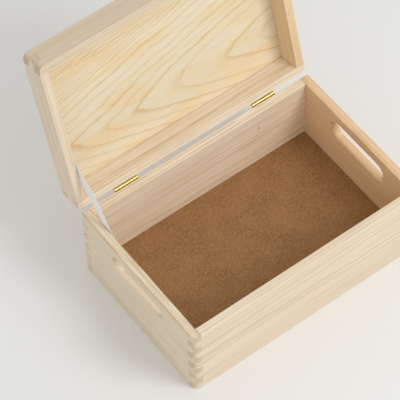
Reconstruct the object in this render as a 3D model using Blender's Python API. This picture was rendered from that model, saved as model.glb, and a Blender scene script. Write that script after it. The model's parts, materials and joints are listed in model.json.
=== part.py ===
"""A lidded wooden toy box, standing open.

Four finger-jointed pine boards round a hardboard bottom make the box. Four lower
boards round a thin pine panel make the lid, which turns on two brass butt hinges
behind the back board. A woven tape between the left boards stops the lid when it
leans a little past upright. Handle slots go through the left and right boards.

+X is to the right and +Y to the back. The origin is on the ground, in the middle
of the space that the open box takes up. Lengths are in metres.
"""

import math

import bmesh
import bpy
from mathutils import Matrix, Vector

for old_object in list(bpy.data.objects):
    bpy.data.objects.remove(old_object, do_unlink=True)

MM = 0.001

# The box and the lid, outside.
WIDTH = 300 * MM
DEPTH = 196 * MM
BOX_HEIGHT = 102 * MM
LID_HEIGHT = 32 * MM
BOARD = 10 * MM
BOX_FINGERS = 10
LID_FINGERS = 3
FRONT_CORNER_RADIUS = 8 * MM
BACK_CORNER_RADIUS = 1.6 * MM
EDGE_ROUND = 0.8 * MM
GAP = 0.3 * MM

# The bottom and the lid's panel.
BOTTOM_THICK = 3 * MM
BOTTOM_TOP = 16 * MM
BOTTOM_IN_GROOVE = 5 * MM
PANEL_THICK = 4 * MM
PANEL_IN_REBATE = 5 * MM

# The handle slots, at their narrowest.
SLOT_LENGTH = 85 * MM
SLOT_HEIGHT = 23 * MM
SLOT_BELOW_RIM = 26 * MM
SLOT_ROUND = 3.3 * MM
LEFT_SLOT_BACK = 1.5 * MM
RIGHT_SLOT_BACK = -2 * MM

# The hinges. A leaf lies flat on the back face of its board.
LID_OPEN = math.radians(105)
HINGE_LENGTH = 30 * MM
HINGE_X = 91 * MM
KNUCKLE_RADIUS = 2.0 * MM
KNUCKLES = 5
LEAF_THICK = 0.9 * MM
LEAF_REACH = 11 * MM
PIN_RADIUS = 0.8 * MM
PIN_PLAY = 0.1 * MM
PIN_PROUD = 0.2 * MM
LEAF_SCREW_X = 9 * MM
LEAF_SCREW_REACH = 6.6 * MM
TOOTH_INSET = 0.05 * MM
TOOTH_END = 0.2 * MM  # how far short of the axis a tooth of the plate ends

# The screws: a shank below a countersunk or a pan head.
SHANK_RADIUS = 0.8 * MM
SHANK_LENGTH = 7.5 * MM
TIP_RADIUS = 0.15 * MM
TIP_LENGTH = 1.2 * MM
HEAD_RADIUS = 1.9 * MM
HEAD_HEIGHT = 0.9 * MM
HEAD_EDGE = 0.1 * MM
DRIVE_WIDTH = 0.4 * MM
DRIVE_DEPTH = 0.4 * MM
STAY_HEAD_RADIUS = 2.6 * MM
STAY_HEAD_HEIGHT = 1.3 * MM
STAY_HEAD_EDGE = 0.5 * MM
STAY_HEAD_SHOULDER = 0.95 * MM
STAY_DRIVE_WIDTH = 0.6 * MM
STAY_DRIVE_DEPTH = 0.6 * MM
WASHER_RADIUS = 4.2 * MM
WASHER_THICK = 0.7 * MM

# The stay: a tape from a screw in the box to a screw in the lid. Its two points
# are (distance back from the front face, height), the lid's with the lid shut.
STAY_WIDTH = 12 * MM
STAY_THICK = 0.8 * MM
STAY_END = 7 * MM
STAY_CORNER = 1.5 * MM
STAY_ON_BOX = (148 * MM, 87 * MM)
STAY_ON_LID = (126 * MM, 115 * MM)

ARC_STEPS = 6
EDGE_STEPS = 3
ROUND_SIDES = 24
BORE_SIDES = 12
SMALL_SIDES = 16
SMOOTH_BELOW = math.radians(35)
CLEAR = 5 * MM  # how far a cutter runs past what it cuts
SHORT_SIDE = 0.01 * MM  # the straight side left between a slot's two round corners

HINGE_BACK = DEPTH + KNUCKLE_RADIUS + GAP  # the axis, back from the front face
HINGE_HEIGHT = BOX_HEIGHT + GAP / 2
LID_REACH = (LID_HEIGHT + GAP / 2) * math.sin(LID_OPEN) - HINGE_BACK * math.cos(LID_OPEN)
OPEN_DEPTH = HINGE_BACK + LID_REACH
FRONT = -OPEN_DEPTH / 2
AXIS = Vector((0, FRONT + HINGE_BACK, HINGE_HEIGHT))
BOX_MIDDLE = FRONT + DEPTH / 2


# ---- materials -------------------------------------------------------------


def material(name, colour, roughness, metallic=0.0):
    made = bpy.data.materials.new(name)
    made.use_nodes = True
    shader = made.node_tree.nodes["Principled BSDF"]
    shader.inputs["Base Color"].default_value = (*colour, 1)
    shader.inputs["Roughness"].default_value = roughness
    shader.inputs["Metallic"].default_value = metallic
    made.diffuse_color = (*colour, 1)
    return made


PINE = material("pine", (0.80, 0.66, 0.46), 0.62)
PINE_PANEL = material("pine_panel", (0.82, 0.67, 0.44), 0.6)
HARDBOARD = material("hardboard", (0.27, 0.14, 0.06), 0.75)
BRASS = material("brass", (0.78, 0.57, 0.24), 0.28, 1.0)
TAPE = material("tape", (0.88, 0.88, 0.88), 0.85)


# ---- meshes ----------------------------------------------------------------


def mesh_from(shape, name):
    """A mesh from a bmesh, with its faces turned outwards."""
    bmesh.ops.recalc_face_normals(shape, faces=shape.faces)
    mesh = bpy.data.meshes.new(name)
    shape.to_mesh(mesh)
    shape.free()
    return mesh


def stack(loops, name):
    """A closed solid through loops with equal counts, with a face across each end."""
    shape = bmesh.new()
    rings = [[shape.verts.new(point) for point in loop] for loop in loops]
    for below, above in zip(rings, rings[1:]):
        for i in range(len(below)):
            after = (i + 1) % len(below)
            shape.faces.new((below[i], below[after], above[after], above[i]))
    shape.faces.new(list(reversed(rings[0])))
    shape.faces.new(rings[-1])
    return mesh_from(shape, name)


def block(low, high, name="block"):
    corners = [(low[0], low[1]), (high[0], low[1]), (high[0], high[1]), (low[0], high[1])]
    return stack([[(x, y, z) for x, y in corners] for z in (low[2], high[2])], name)


def arc(centre, radius, start, end, steps):
    """Points on an arc from one angle to the other, in degrees."""
    angles = [math.radians(start + (end - start) * i / steps) for i in range(steps + 1)]
    return [(centre[0] + radius * math.cos(a), centre[1] + radius * math.sin(a)) for a in angles]


def rounded_outline(half_x, half_y, back_radius, front_radius, steps=ARC_STEPS):
    """A rectangle round the origin with round corners, anticlockwise from the right."""
    points = []
    for quarter, (side_x, side_y) in enumerate([(1, 1), (-1, 1), (-1, -1), (1, -1)]):
        radius = back_radius if side_y > 0 else front_radius
        centre = (side_x * (half_x - radius), side_y * (half_y - radius))
        points += arc(centre, radius, 90 * quarter, 90 * quarter + 90, steps)
    return points


def lathe(profile, sides=ROUND_SIDES):
    """Loops for stack from (radius, height) pairs, with no radius of nothing."""
    turns = [2 * math.pi * (i + 0.5) / sides for i in range(sides)]
    return [[(r * math.cos(a), r * math.sin(a), z) for a in turns] for r, z in profile]


def place(name, mesh, look, centre=(0, 0, 0), turned=None, parent=None):
    """An object for a mesh, at a place in its parent's frame."""
    made = bpy.data.objects.new(name, mesh)
    bpy.context.scene.collection.objects.link(made)
    if look:
        mesh.materials.clear()
        mesh.materials.append(look)
    made.matrix_basis = Matrix.Translation(centre) @ (turned or Matrix()).to_4x4()
    made.parent = parent
    return made


def cut(mesh, others, operation="DIFFERENCE"):
    """The mesh with each of the others cut from it, joined to it or kept in common."""
    base = place("base", mesh, None)
    helpers = [place("cutter", other, None) for other in others]
    for helper in helpers:
        step = base.modifiers.new("cut", "BOOLEAN")
        step.operation = operation
        step.object = helper
    bpy.context.view_layer.update()
    graph = bpy.context.evaluated_depsgraph_get()
    result = bpy.data.meshes.new_from_object(base.evaluated_get(graph))
    for used in [base, *helpers]:
        bpy.data.objects.remove(used, do_unlink=True)
    return result


def moved(mesh, centre, turned=None):
    """A copy of a mesh, turned and then moved."""
    copied = mesh.copy()
    copied.transform(Matrix.Translation(centre) @ (turned or Matrix()).to_4x4())
    return copied


# ---- boards ----------------------------------------------------------------

# A frame of boards is worked out with its middle at x = y = 0 and its base at z = 0.


def frame_outside(height):
    """The whole outside of a frame, with its upright corners and its rims rounded."""
    profile = arc((EDGE_ROUND, EDGE_ROUND), EDGE_ROUND, 270, 180, EDGE_STEPS)
    profile += arc((EDGE_ROUND, height - EDGE_ROUND), EDGE_ROUND, 180, 90, EDGE_STEPS)
    loops = []
    for inset, z in profile:
        radii = (BACK_CORNER_RADIUS - inset, FRONT_CORNER_RADIUS - inset)
        outline = rounded_outline(WIDTH / 2 - inset, DEPTH / 2 - inset, *radii)
        loops.append([(x, y, z) for x, y in outline])
    return stack(loops, "outside")


def frame_inside(rim, away):
    """The hollow, opening out in a round edge at its rim and running on past it."""
    profile = [(0, rim - away * (BOX_HEIGHT + CLEAR))]
    for outset, rise in arc((-EDGE_ROUND, -EDGE_ROUND), EDGE_ROUND, 0, 90, EDGE_STEPS):
        profile.append((-outset, rim + away * rise))
    profile.append((EDGE_ROUND, rim + away * CLEAR))
    loops = []
    for outset, z in profile:
        half_x = WIDTH / 2 - BOARD + outset
        half_y = DEPTH / 2 - BOARD + outset
        corners = [(-half_x, -half_y), (half_x, -half_y), (half_x, half_y), (-half_x, half_y)]
        loops.append([(x, y, z) for x, y in corners])
    return stack(loops, "inside")


def fingered_board(length, height, fingers, first, name):
    """A board along x with square fingers at both ends, its outer face at y = 0.

    first is 0 where the lowest finger belongs to this board, and 1 where the
    board beside it has that one.
    """
    rise = height / fingers
    end = []
    for i in range(fingers):
        own = i % 2 == first
        reach = length / 2 if own else length / 2 - BOARD - GAP
        trim = GAP / 2 if own else -GAP / 2
        low = i * rise + (trim if i > 0 else 0)
        high = (i + 1) * rise - (trim if i < fingers - 1 else 0)
        end += [(reach, low), (reach, high)]
    outline = end + [(-x, z) for x, z in reversed(end)]
    return stack([[(x, y, z) for x, z in outline] for y in (0, BOARD)], name)


def frame_boards(height, fingers, front_first, outside, cutters):
    """The meshes of the four boards of a frame, by side."""
    turns = {"front": 0, "right": 90, "back": 180, "left": 270}
    boards = {}
    for side, angle in turns.items():
        across = side in ("front", "back")
        length = WIDTH if across else DEPTH
        out = DEPTH / 2 if across else WIDTH / 2
        first = front_first if across else 1 - front_first
        board = fingered_board(length, height, fingers, first, side)
        turn = Matrix.Rotation(math.radians(angle), 4, "Z")
        board.transform(turn @ Matrix.Translation((0, -out, 0)))
        board = cut(board, [outside.copy()], "INTERSECT")
        boards[side] = cut(board, [cutter.copy() for cutter in cutters.get(side, cutters["all"])])
    return boards


def slot_cutter():
    """A cutter for a handle slot along y, through x, widest at the wall's two faces."""
    edge = arc((SLOT_ROUND, -BOARD / 2 + SLOT_ROUND), SLOT_ROUND, 270, 180, EDGE_STEPS)
    half = [(SLOT_ROUND, -BOARD / 2 - CLEAR)] + edge
    profile = half + [(outset, -x) for outset, x in reversed(half)]
    loops = []
    for outset, x in profile:
        half_y = SLOT_LENGTH / 2 + outset
        half_z = SLOT_HEIGHT / 2 + outset
        radius = half_z - SHORT_SIDE
        outline = rounded_outline(half_y, half_z, radius, radius)
        loops.append([(x, y, z) for y, z in outline])
    return stack(loops, "slot")


def bore_cutter(radius, low, high, sides=BORE_SIDES):
    """A round cutter along z."""
    return stack(lathe([(radius, low), (radius, high)], sides), "bore")


def screw_hole(length):
    """A cutter for the hole under a screw, pointing down from z = 0."""
    return bore_cutter(SHANK_RADIUS + GAP, -length, CLEAR)


# ---- hinges and screws -----------------------------------------------------

ALONG_X = Matrix.Rotation(math.radians(90), 4, "Y")
OUT_OF_BACK = Matrix.Rotation(math.radians(-90), 4, "X")
OUT_OF_LEFT_INSIDE = Matrix.Rotation(math.radians(90), 4, "Y")


def rod_along_x(radius, start, end, sides=ROUND_SIDES):
    rod = stack(lathe([(radius, start), (radius, end)], sides), "rod")
    rod.transform(ALONG_X)
    return rod


def screw_shank(tip):
    """The profile of a screw's point, up to its full width."""
    return [(TIP_RADIUS, tip), (SHANK_RADIUS, tip + TIP_LENGTH)]


def countersunk_screw():
    """A screw with its head's flat top at z = 0."""
    profile = screw_shank(-SHANK_LENGTH) + [(SHANK_RADIUS, -HEAD_HEIGHT)]
    profile += [(HEAD_RADIUS, -HEAD_EDGE), (HEAD_RADIUS, 0)]
    half = DRIVE_WIDTH / 2
    drive = block((-CLEAR, -half, -DRIVE_DEPTH), (CLEAR, half, CLEAR))
    return cut(stack(lathe(profile, SMALL_SIDES), "screw"), [drive])


def pan_screw():
    """A screw with the underside of its domed head at z = 0."""
    profile = screw_shank(-SHANK_LENGTH - WASHER_THICK - STAY_THICK) + [(SHANK_RADIUS, 0)]
    profile += [(STAY_HEAD_RADIUS, 0), (STAY_HEAD_RADIUS, STAY_HEAD_EDGE)]
    profile += [(STAY_HEAD_RADIUS * 0.85, STAY_HEAD_SHOULDER), (STAY_HEAD_RADIUS / 2, STAY_HEAD_HEIGHT)]
    half = STAY_DRIVE_WIDTH / 2
    drive = block((-CLEAR, -half, STAY_HEAD_HEIGHT - STAY_DRIVE_DEPTH), (CLEAR, half, CLEAR))
    return cut(stack(lathe(profile, SMALL_SIDES), "screw"), [drive])


def washer():
    """A washer with its underside at z = 0."""
    disc = stack(lathe([(WASHER_RADIUS, 0), (WASHER_RADIUS, WASHER_THICK)]), "washer")
    return cut(disc, [bore_cutter(SHANK_RADIUS + GAP, -CLEAR, CLEAR)])


def leaf_screw_places(up):
    """Where a leaf's two screws sit, from the middle of the hinge's axis."""
    depth = -KNUCKLE_RADIUS + LEAF_THICK
    return [Vector((side * LEAF_SCREW_X, depth, up * LEAF_SCREW_REACH)) for side in (-1, 1)]


def hinge_leaf(first, up):
    """A leaf with every other knuckle, its axis along x through the origin.

    up is 1 for the leaf that rises from the axis and -1 for the one that hangs.
    The side that lies on the board is at y = -KNUCKLE_RADIUS. The plate is a comb
    whose teeth, a little narrower than the knuckles, run into them.
    """
    clear = KNUCKLE_RADIUS + GAP
    inner = -KNUCKLE_RADIUS
    outer = inner + LEAF_THICK
    pitch = (HINGE_LENGTH + GAP) / KNUCKLES
    comb = [(-HINGE_LENGTH / 2, clear)]
    knuckles = []
    for i in range(first, KNUCKLES, 2):
        start = -HINGE_LENGTH / 2 + i * pitch
        end = start + pitch - GAP
        left = start + TOOTH_INSET
        right = end - TOOTH_INSET
        comb += [(left, clear), (left, TOOTH_END), (right, TOOTH_END), (right, clear)]
        knuckles.append(rod_along_x(KNUCKLE_RADIUS, start, end))
    half = HINGE_LENGTH / 2
    comb += [(half, clear), (half, LEAF_REACH), (-half, LEAF_REACH)]
    plate = stack([[(x, y, up * z) for x, z in comb] for y in (inner, outer)], "plate")
    leaf = cut(plate, knuckles, "UNION")
    holes = [rod_along_x(PIN_RADIUS + PIN_PLAY, -HINGE_LENGTH, HINGE_LENGTH, SMALL_SIDES)]
    bore = SHANK_RADIUS + GAP
    mouth = HEAD_RADIUS + GAP
    sink = [(bore, -CLEAR), (bore, HEAD_EDGE - HEAD_HEIGHT), (mouth, 0), (mouth, CLEAR)]
    for spot in leaf_screw_places(up):
        holes.append(moved(stack(lathe(sink, SMALL_SIDES), "sink"), spot, OUT_OF_BACK))
    return cut(leaf, holes)


# ---- the box ---------------------------------------------------------------


def leaf_screw_holes(up, back, axis_z):
    """Cutters for the screws of both hinges, in the back board of a frame."""
    holes = []
    for hinge_x in (-HINGE_X, HINGE_X):
        for spot in leaf_screw_places(up):
            mouth = (hinge_x + spot.x, back, axis_z + spot.z)
            holes.append(moved(screw_hole(SHANK_LENGTH), mouth, OUT_OF_BACK))
    return holes


def build_box():
    outside = frame_outside(BOX_HEIGHT)
    inside = frame_inside(BOX_HEIGHT, 1)
    groove_x = WIDTH / 2 - BOARD + BOTTOM_IN_GROOVE + GAP
    groove_y = DEPTH / 2 - BOARD + BOTTOM_IN_GROOVE + GAP
    groove_low = BOTTOM_TOP - BOTTOM_THICK - GAP
    groove = block((-groove_x, -groove_y, groove_low), (groove_x, groove_y, BOTTOM_TOP + GAP))
    slot = slot_cutter()
    slot_z = BOX_HEIGHT - SLOT_BELOW_RIM
    middle_x = (WIDTH - BOARD) / 2
    stay_y = STAY_ON_BOX[0] - DEPTH / 2
    stay_hole = moved(
        screw_hole(SHANK_LENGTH + GAP), (-WIDTH / 2 + BOARD, stay_y, STAY_ON_BOX[1]), OUT_OF_LEFT_INSIDE
    )
    cutters = {
        "all": [inside, groove],
        "left": [inside, groove, moved(slot, (-middle_x, LEFT_SLOT_BACK, slot_z)), stay_hole],
        "right": [inside, groove, moved(slot, (middle_x, RIGHT_SLOT_BACK, slot_z))],
        "back": [inside, groove, *leaf_screw_holes(-1, DEPTH / 2, HINGE_HEIGHT)],
    }
    boards = frame_boards(BOX_HEIGHT, BOX_FINGERS, 0, outside, cutters)
    for side, mesh in boards.items():
        place(f"{side}_wall", mesh, PINE, (0, BOX_MIDDLE, 0))
    half_x = groove_x - GAP
    half_y = groove_y - GAP
    bottom = block((-half_x, -half_y, -BOTTOM_THICK), (half_x, half_y, 0), "bottom")
    place("bottom_panel", bottom, HARDBOARD, (0, BOX_MIDDLE, BOTTOM_TOP))


# ---- the lid ---------------------------------------------------------------


def build_lid(pivot):
    """The lid's boards and panel, built shut in the frame of the pivot."""
    outside = frame_outside(LID_HEIGHT)
    inside = frame_inside(0, -1)
    rebate_x = WIDTH / 2 - BOARD + PANEL_IN_REBATE + GAP
    rebate_y = DEPTH / 2 - BOARD + PANEL_IN_REBATE + GAP
    ledge = LID_HEIGHT - PANEL_THICK - GAP
    rebate = block((-rebate_x, -rebate_y, ledge), (rebate_x, rebate_y, LID_HEIGHT + CLEAR))
    rim_above_axis = GAP / 2
    stay_y = STAY_ON_LID[0] - DEPTH / 2
    stay_z = STAY_ON_LID[1] - BOX_HEIGHT - GAP
    stay_hole = moved(
        screw_hole(SHANK_LENGTH + GAP), (-WIDTH / 2 + BOARD, stay_y, stay_z), OUT_OF_LEFT_INSIDE
    )
    cutters = {
        "all": [inside, rebate],
        "left": [inside, rebate, stay_hole],
        "back": [inside, rebate, *leaf_screw_holes(1, DEPTH / 2, -rim_above_axis)],
    }
    middle = Vector((0, DEPTH / 2 - HINGE_BACK, rim_above_axis))
    boards = frame_boards(LID_HEIGHT, LID_FINGERS, 0, outside, cutters)
    for side, mesh in boards.items():
        place(f"lid_{side}_wall", mesh, PINE, middle, parent=pivot)
    half_x = rebate_x - GAP
    half_y = rebate_y - GAP
    panel = block((-half_x, -half_y, -PANEL_THICK), (half_x, half_y, 0), "panel")
    place("lid_panel", panel, PINE_PANEL, middle + Vector((0, 0, LID_HEIGHT)), parent=pivot)


def build_hinges(pivot):
    box_leaf = hinge_leaf(0, -1)
    lid_leaf = hinge_leaf(1, 1)
    half_pin = HINGE_LENGTH / 2 + PIN_PROUD
    pin = rod_along_x(PIN_RADIUS, -half_pin, half_pin, SMALL_SIDES)
    screw = countersunk_screw()
    for side, hinge_x in (("left", -HINGE_X), ("right", HINGE_X)):
        on_box = AXIS + Vector((hinge_x, 0, 0))
        on_lid = Vector((hinge_x, 0, 0))
        place(f"{side}_hinge_box_leaf", box_leaf, BRASS, on_box)
        place(f"{side}_hinge_pin", pin, BRASS, on_box)
        place(f"{side}_hinge_lid_leaf", lid_leaf, BRASS, on_lid, parent=pivot)
        for number, spot in enumerate(leaf_screw_places(-1), 1):
            name = f"{side}_hinge_box_screw_{number}"
            place(name, screw, BRASS, on_box + spot, OUT_OF_BACK)
        for number, spot in enumerate(leaf_screw_places(1), 1):
            name = f"{side}_hinge_lid_screw_{number}"
            place(name, screw, BRASS, on_lid + spot, OUT_OF_BACK, parent=pivot)


# ---- the stay --------------------------------------------------------------


def build_stay(pivot):
    """The tape along the left boards, with a washer and a screw at each end."""
    face_x = -WIDTH / 2 + BOARD
    box_end = Vector((face_x + GAP, FRONT + STAY_ON_BOX[0], STAY_ON_BOX[1]))
    lid_spot = Vector((face_x + GAP, FRONT + STAY_ON_LID[0], STAY_ON_LID[1])) - AXIS
    lid_end = AXIS + Matrix.Rotation(-LID_OPEN, 3, "X") @ lid_spot
    span = lid_end - box_end
    half_long = span.length / 2 + STAY_END
    outline = rounded_outline(half_long, STAY_WIDTH / 2, STAY_CORNER, STAY_CORNER, EDGE_STEPS)
    tape = stack([[(x, y, z) for x, y in outline] for z in (0, STAY_THICK)], "tape")
    bore = bore_cutter(SHANK_RADIUS + GAP, -CLEAR, CLEAR)
    tape = cut(tape, [moved(bore, (end * span.length / 2, 0, 0)) for end in (-1, 1)])
    across = Vector((1, 0, 0))
    along = span.normalized()
    turned = Matrix((along, across.cross(along), across)).transposed()
    place("lid_stay_strap", tape, TAPE, (box_end + lid_end) / 2, turned)
    on_tape = Vector((STAY_THICK + GAP, 0, 0))
    on_washer = on_tape + Vector((WASHER_THICK + GAP, 0, 0))
    turned = OUT_OF_LEFT_INSIDE
    place("stay_box_washer", washer(), BRASS, box_end + on_tape, turned)
    place("stay_box_screw", pan_screw(), BRASS, box_end + on_washer, turned)
    place("stay_lid_washer", washer(), BRASS, lid_spot + on_tape, turned, parent=pivot)
    place("stay_lid_screw", pan_screw(), BRASS, lid_spot + on_washer, turned, parent=pivot)


# ---- the whole -------------------------------------------------------------


def build():
    pivot = bpy.data.objects.new("lid_pivot", None)
    bpy.context.scene.collection.objects.link(pivot)
    pivot.location = AXIS
    pivot.rotation_euler.x = -LID_OPEN
    build_box()
    build_lid(pivot)
    build_hinges(pivot)
    build_stay(pivot)
    bpy.context.view_layer.update()
    for node in bpy.data.objects:
        if node.type == "MESH":
            node.data.shade_smooth()
            node.data.set_sharp_from_angle(angle=SMOOTH_BELOW)


build()
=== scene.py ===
# %% [markdown]
# # A wooden toy box, standing open
#
# The real thing is a small joiner's piece. Four pine boards meet in finger joints
# round a hardboard bottom, four lower boards carry a thin pine panel as the lid,
# two brass butt hinges join box and lid, and a cotton tape stops the lid when it
# leans back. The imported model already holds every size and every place, so this
# lesson only makes the surfaces: crisper joints, soft edges, grain, brass, cloth.

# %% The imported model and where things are
import json
import math

import bmesh
import bpy
from mathutils import Matrix, Vector


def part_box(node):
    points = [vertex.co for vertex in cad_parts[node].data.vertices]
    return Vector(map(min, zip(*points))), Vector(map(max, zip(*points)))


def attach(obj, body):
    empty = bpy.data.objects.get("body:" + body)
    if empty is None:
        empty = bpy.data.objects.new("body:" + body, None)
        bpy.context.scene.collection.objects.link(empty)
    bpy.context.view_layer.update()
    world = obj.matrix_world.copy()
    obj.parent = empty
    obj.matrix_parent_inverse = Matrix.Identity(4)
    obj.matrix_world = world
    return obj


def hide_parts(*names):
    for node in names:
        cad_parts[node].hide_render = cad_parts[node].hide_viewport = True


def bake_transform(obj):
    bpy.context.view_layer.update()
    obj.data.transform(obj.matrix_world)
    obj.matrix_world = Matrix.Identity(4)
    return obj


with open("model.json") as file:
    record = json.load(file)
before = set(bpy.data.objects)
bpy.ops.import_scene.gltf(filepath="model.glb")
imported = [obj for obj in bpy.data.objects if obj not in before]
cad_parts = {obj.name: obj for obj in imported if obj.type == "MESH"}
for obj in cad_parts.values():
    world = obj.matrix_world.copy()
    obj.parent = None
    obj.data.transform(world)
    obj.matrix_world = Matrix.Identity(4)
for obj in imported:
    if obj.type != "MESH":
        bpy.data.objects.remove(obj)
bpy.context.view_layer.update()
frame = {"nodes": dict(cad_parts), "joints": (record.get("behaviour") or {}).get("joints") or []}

MM = 0.001

# %% [markdown]
# The lid stands open at 105 degrees. It is easier to think about it shut, where its
# boards are square to the box, so the next cell finds the hinge's axis from a pin,
# makes the turn that opens the lid, and measures lid pieces with that turn undone.

# %% The hinge's axis and the sizes of the box and the lid
pin_low, pin_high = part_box("left_hinge_pin")
pin_middle = (pin_low + pin_high) / 2
AXIS = Vector((0, pin_middle.y, pin_middle.z))
LID_OPEN = math.radians(frame["joints"][0]["range_deg"][1])
OPENING = Matrix.Translation(AXIS) @ Matrix.Rotation(-LID_OPEN, 4, "X") @ Matrix.Translation(-AXIS)


def shut_box(node):
    """The lowest and highest corner of a lid piece with the lid shut."""
    shutting = OPENING.inverted()
    corners = [shutting @ vertex.co for vertex in frame["nodes"][node].data.vertices]
    low = Vector([min(corner[i] for corner in corners) for i in range(3)])
    high = Vector([max(corner[i] for corner in corners) for i in range(3)])
    return low, high


front_low, front_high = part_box("front_wall")
_, back_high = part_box("back_wall")
lid_low, lid_high = shut_box("lid_front_wall")
WIDTH = front_high.x - front_low.x
DEPTH = back_high.y - front_low.y
BOARD = front_high.y - front_low.y
BOX_HEIGHT = front_high.z
LID_HEIGHT = lid_high.z - lid_low.z
BOX_HOME = Matrix.Translation((0, front_low.y + DEPTH / 2, 0))
LID_HOME = OPENING @ Matrix.Translation((0, front_low.y + DEPTH / 2, lid_low.z))
print(
    f"box {WIDTH / MM:.0f} x {DEPTH / MM:.0f} x {BOX_HEIGHT / MM:.0f} mm, "
    f"lid {LID_HEIGHT / MM:.0f} mm high"
)

# %% [markdown]
# The camera looks down on the box from its front left corner, from two and a half
# metres away through a long lens, so parallel edges stay nearly parallel. Placing
# it by an aim point, a distance and three angles keeps each of those choices apart.

# %% Camera
CAMERA_AIM = Vector((-41.5 * MM, -6.6 * MM, BOX_HEIGHT))
CAMERA_DISTANCE = 2.557
CAMERA_AZIMUTH = math.radians(-34.87)
CAMERA_HEIGHT_ANGLE = math.radians(55.42)
CAMERA_ROLL = math.radians(-2.22)

camera = bpy.data.objects.new("camera", bpy.data.cameras.new("camera"))
bpy.context.scene.collection.objects.link(camera)
turn = Matrix.Rotation(CAMERA_AZIMUTH, 4, "Z")
tilt = Matrix.Rotation(math.radians(90) - CAMERA_HEIGHT_ANGLE, 4, "X")
roll = Matrix.Rotation(CAMERA_ROLL, 4, "Z")
camera.matrix_world = (
    Matrix.Translation(CAMERA_AIM) @ turn @ tilt @ roll
    @ Matrix.Translation((0, 0, CAMERA_DISTANCE))
)
camera.data.sensor_width = 36
camera.data.lens = 219.6
camera.data.clip_end = 50
bpy.context.scene.camera = camera
print("the camera is at", [round(value, 3) for value in camera.matrix_world.translation])

# %% [markdown]
# A box this pale shows its shape only through soft shading. One broad lamp high in
# front and to the right is the key, so the left side and the floor beyond it fall
# away a little. Weak lamps behind and on the left keep the far edges and the
# shaded faces readable, and a bright world fills in the rest, as white walls do.

# %% Floor and light
KEY_POWER = 15.5
BACK_POWER = 2
FILL_POWER = 3
WORLD_STRENGTH = 0.69


def lamp(name, place, aim, size, power):
    """A square area light at a place, facing a point."""
    light = bpy.data.lights.new(name, "AREA")
    light.size = size
    light.energy = power
    made = bpy.data.objects.new(name, light)
    made.location = place
    made.rotation_euler = (Vector(aim) - Vector(place)).to_track_quat("-Z", "Y").to_euler()
    bpy.context.scene.collection.objects.link(made)
    return made


lamp("key_light", (0.7, -1.3, 1.5), (0, 0, 0.1), 0.8, KEY_POWER)
lamp("back_light", (0.3, 1.8, 1.2), (0, 0, 0.1), 1.4, BACK_POWER)
lamp("fill_light", (-2.0, -1.2, 1.2), (0, 0, 0.1), 1.6, FILL_POWER)

world = bpy.data.worlds.new("studio")
world.use_nodes = True
world.node_tree.nodes["Background"].inputs["Color"].default_value = (1.0, 1.0, 0.99, 1)
world.node_tree.nodes["Background"].inputs["Strength"].default_value = WORLD_STRENGTH
bpy.context.scene.world = world
bpy.context.scene.view_settings.view_transform = "Standard"
print("three lamps and a world of strength", WORLD_STRENGTH)

# %% [markdown]
# Every finish below is a formula over the surface: how far a point is from the
# tree's middle, how dark a ring is there, whether the cut end shows. Written with
# nodes by hand, such formulas are hard to read. `Field` wraps one socket so that
# Python's operators add the Math nodes, and `Finish.add` makes every other node.

# %% Writing a finish as formulas
class Field:
    """A socket that gives a number, a colour or a vector for each point of a surface."""

    def __init__(self, finish, socket):
        self.finish = finish
        self.socket = socket

    def maths(self, operation, first, second=0.0, third=0.0):
        return self.finish.add("ShaderNodeMath", {"operation": operation}, [first, second, third])

    def __add__(self, other):
        return self.maths("ADD", self, other)

    def __radd__(self, other):
        return self.maths("ADD", other, self)

    def __sub__(self, other):
        return self.maths("SUBTRACT", self, other)

    def __rsub__(self, other):
        return self.maths("SUBTRACT", other, self)

    def __mul__(self, other):
        return self.maths("MULTIPLY", self, other)

    def __rmul__(self, other):
        return self.maths("MULTIPLY", other, self)

    def __truediv__(self, other):
        return self.maths("DIVIDE", self, other)

    def __rtruediv__(self, other):
        return self.maths("DIVIDE", other, self)

    def __pow__(self, other):
        return self.maths("POWER", self, other)

    def __abs__(self):
        return self.maths("ABSOLUTE", self)

    def floor(self):
        return self.maths("FLOOR", self)

    def root(self):
        return self.maths("SQRT", self)

    def sine(self):
        return self.maths("SINE", self)

    def step(self, start, end):
        """0 below start, 1 above end, and smooth between them; start may be the higher."""
        settings = {"interpolation_type": "SMOOTHSTEP"}
        low, high = min(start, end), max(start, end)
        to_low, to_high = (0.0, 1.0) if start < end else (1.0, 0.0)
        return self.finish.add("ShaderNodeMapRange", settings, [self, low, high, to_low, to_high])


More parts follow.
